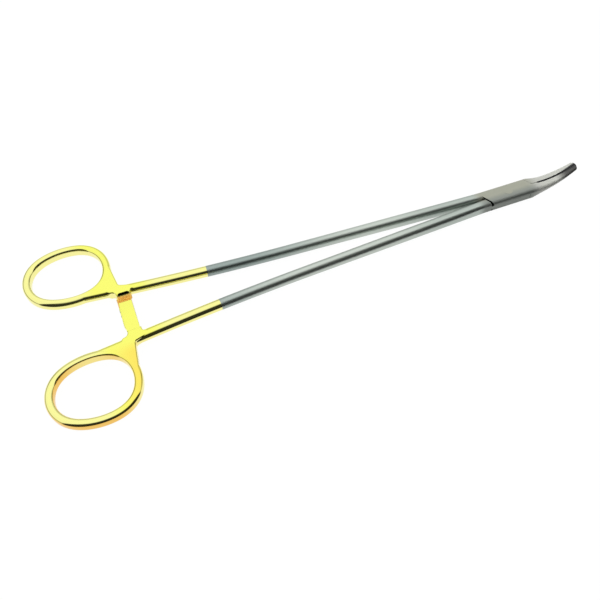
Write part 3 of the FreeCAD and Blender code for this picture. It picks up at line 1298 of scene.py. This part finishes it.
@dataclass
class Studio:
    """Pale floor, soft light with a dark side, and the camera."""

    floor_size: float = 6.0
    floor_colour: Colour = (0.9, 0.9, 0.9, 1.0)
    floor_glow: float = 1.03
    floor_glow_share: float = 0.93
    white: Colour = (1.0, 1.0, 1.0, 1.0)
    lamp_size: float = 0.8
    lamp_power: float = 0.05
    lamp_place: tuple[float, float, float] = (-0.05, 0.35, 0.9)
    lamp_tilt: float = -21.0
    azimuth: float = -23.124
    elevation: float = 54.378
    roll: float = 0.802
    target: tuple[float, float, float] = (-102.797, -17.724, 2.75)
    distance: float = 232.109
    focal_pixels: float = 620.0
    frame_pixels: float = 600.0
    sensor_width: float = 36.0
    clip_start: float = 0.01
    dark_fields: tuple[DarkField, ...] = (
        DarkField(low=-18, high=54, fade=24, left=-44, right=100, softness=8, depth=0.975),
        DarkField(low=0, high=15, fade=10, left=-130, right=-44, softness=10, depth=0.6),
        DarkField(low=0, high=15, fade=10, left=100, right=140, softness=10, depth=0.6),
        DarkField(low=0, high=28, fade=14, left=130, right=200, softness=20, depth=0.35),
        DarkField(low=0, high=28, fade=14, left=-200, right=-130, softness=20, depth=0.35),
    )

    def towards_camera(self) -> np.ndarray:
        """Unit vector from the object to the camera."""
        turn, rise = math.radians(self.azimuth), math.radians(self.elevation)
        level = math.cos(rise)
        return np.array([math.sin(turn) * level, -math.cos(turn) * level, math.sin(rise)])

    def camera(self) -> None:
        """Sets the camera by its turn, rise, roll, distance and focal length in pixels."""
        back = self.towards_camera()
        turn, roll = math.radians(self.azimuth), math.radians(self.roll)
        level = np.array([math.cos(turn), math.sin(turn), 0.0])
        upright = np.cross(back, level)
        right = math.cos(roll) * level + math.sin(roll) * upright
        up = -math.sin(roll) * level + math.cos(roll) * upright
        place = (np.array(self.target) + self.distance * back) * MM
        data = bpy.data.cameras.new("camera")
        data.sensor_width = self.sensor_width
        data.lens = self.focal_pixels / self.frame_pixels * self.sensor_width
        data.clip_start = self.clip_start
        camera = linked("camera", data)
        matrix = np.eye(4)
        matrix[:3] = np.column_stack([right, up, back, place])
        camera.matrix_world = Matrix(matrix.tolist())
        bpy.context.scene.camera = camera

    def surroundings(self) -> None:
        """White all round, but for the dark fields, which only the metal's reflections see.

        A ray's bearing is the angle whose sine is along the camera's right and whose
        cosine is along its side, and its height is the arc sine of its Z.
        """
        world = bpy.data.worlds.new("studio")
        bpy.context.scene.world = world
        graph = Graph(world)
        x, y, z = graph.split(graph.coordinates("Generated")).values()
        turn = math.radians(self.azimuth)
        front = x * math.sin(turn) - y * math.cos(turn)
        side = x * math.cos(turn) + y * math.sin(turn)
        bearing = side.maths("ARCTAN2", side, front)
        height = z.maths("ARCSINE", z, 0.0)
        light = self.dark_fields[0].light(graph, height, bearing)
        for dark in self.dark_fields[1:]:
            light = light * dark.light(graph, height, bearing)
        plain = 1 - graph.node("LightPath").out("Is Glossy Ray")
        shader = graph.node("Background", {
            "Color": self.white, "Strength": light.maths("MAXIMUM", light, plain)})
        graph.node("OutputWorld", {"Surface": shader.out()})

    def floor(self) -> None:
        """Wide pale floor that reads white, keeps a faint shadow and isn't seen in the metal."""
        half = self.floor_size / 2
        mesh = bpy.data.meshes.new("floor")
        corners = [(-half, -half, 0), (half, -half, 0), (half, half, 0), (-half, half, 0)]
        mesh.from_pydata(corners, [], [(0, 1, 2, 3)])
        material = bpy.data.materials.new("floor")
        graph = Graph(material)
        path = graph.node("LightPath")
        plain = graph.node("BsdfDiffuse", {"Color": self.floor_colour})
        glow = graph.node("Emission", {"Color": self.white, "Strength": self.floor_glow})
        clear = graph.node("BsdfTransparent")
        seen = graph.node("MixShader", {
            0: path.out("Is Camera Ray") * self.floor_glow_share, 1: plain.out(), 2: glow.out()})
        mixed = graph.node("MixShader", {
            0: path.out("Is Glossy Ray"), 1: seen.out(), 2: clear.out()})
        graph.node("OutputMaterial", {"Surface": mixed.out()})
        mesh.materials.append(material)
        floor = linked("floor", mesh)

    def softbox(self) -> None:
        """One large soft lamp above and behind."""
        data = bpy.data.lights.new("softbox", "AREA")
        data.shape = "SQUARE"
        data.size = self.lamp_size
        data.energy = self.lamp_power
        lamp = linked("softbox", data)
        lamp.location = self.lamp_place
        lamp.rotation_euler = (math.radians(self.lamp_tilt), 0.0, 0.0)

    def build(self) -> None:
        """Sets camera, light, floor and colour handling."""
        self.camera()
        self.surroundings()
        self.floor()
        self.softbox()
        bpy.context.scene.view_settings.view_transform = "Standard"


def main() -> None:
    """Loads the frame, builds the studio and the instrument."""
    logging.basicConfig(level=logging.INFO)
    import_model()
    Studio().build()
    NeedleHolder(Finishes()).build()


if __name__ == "__main__":
    main()
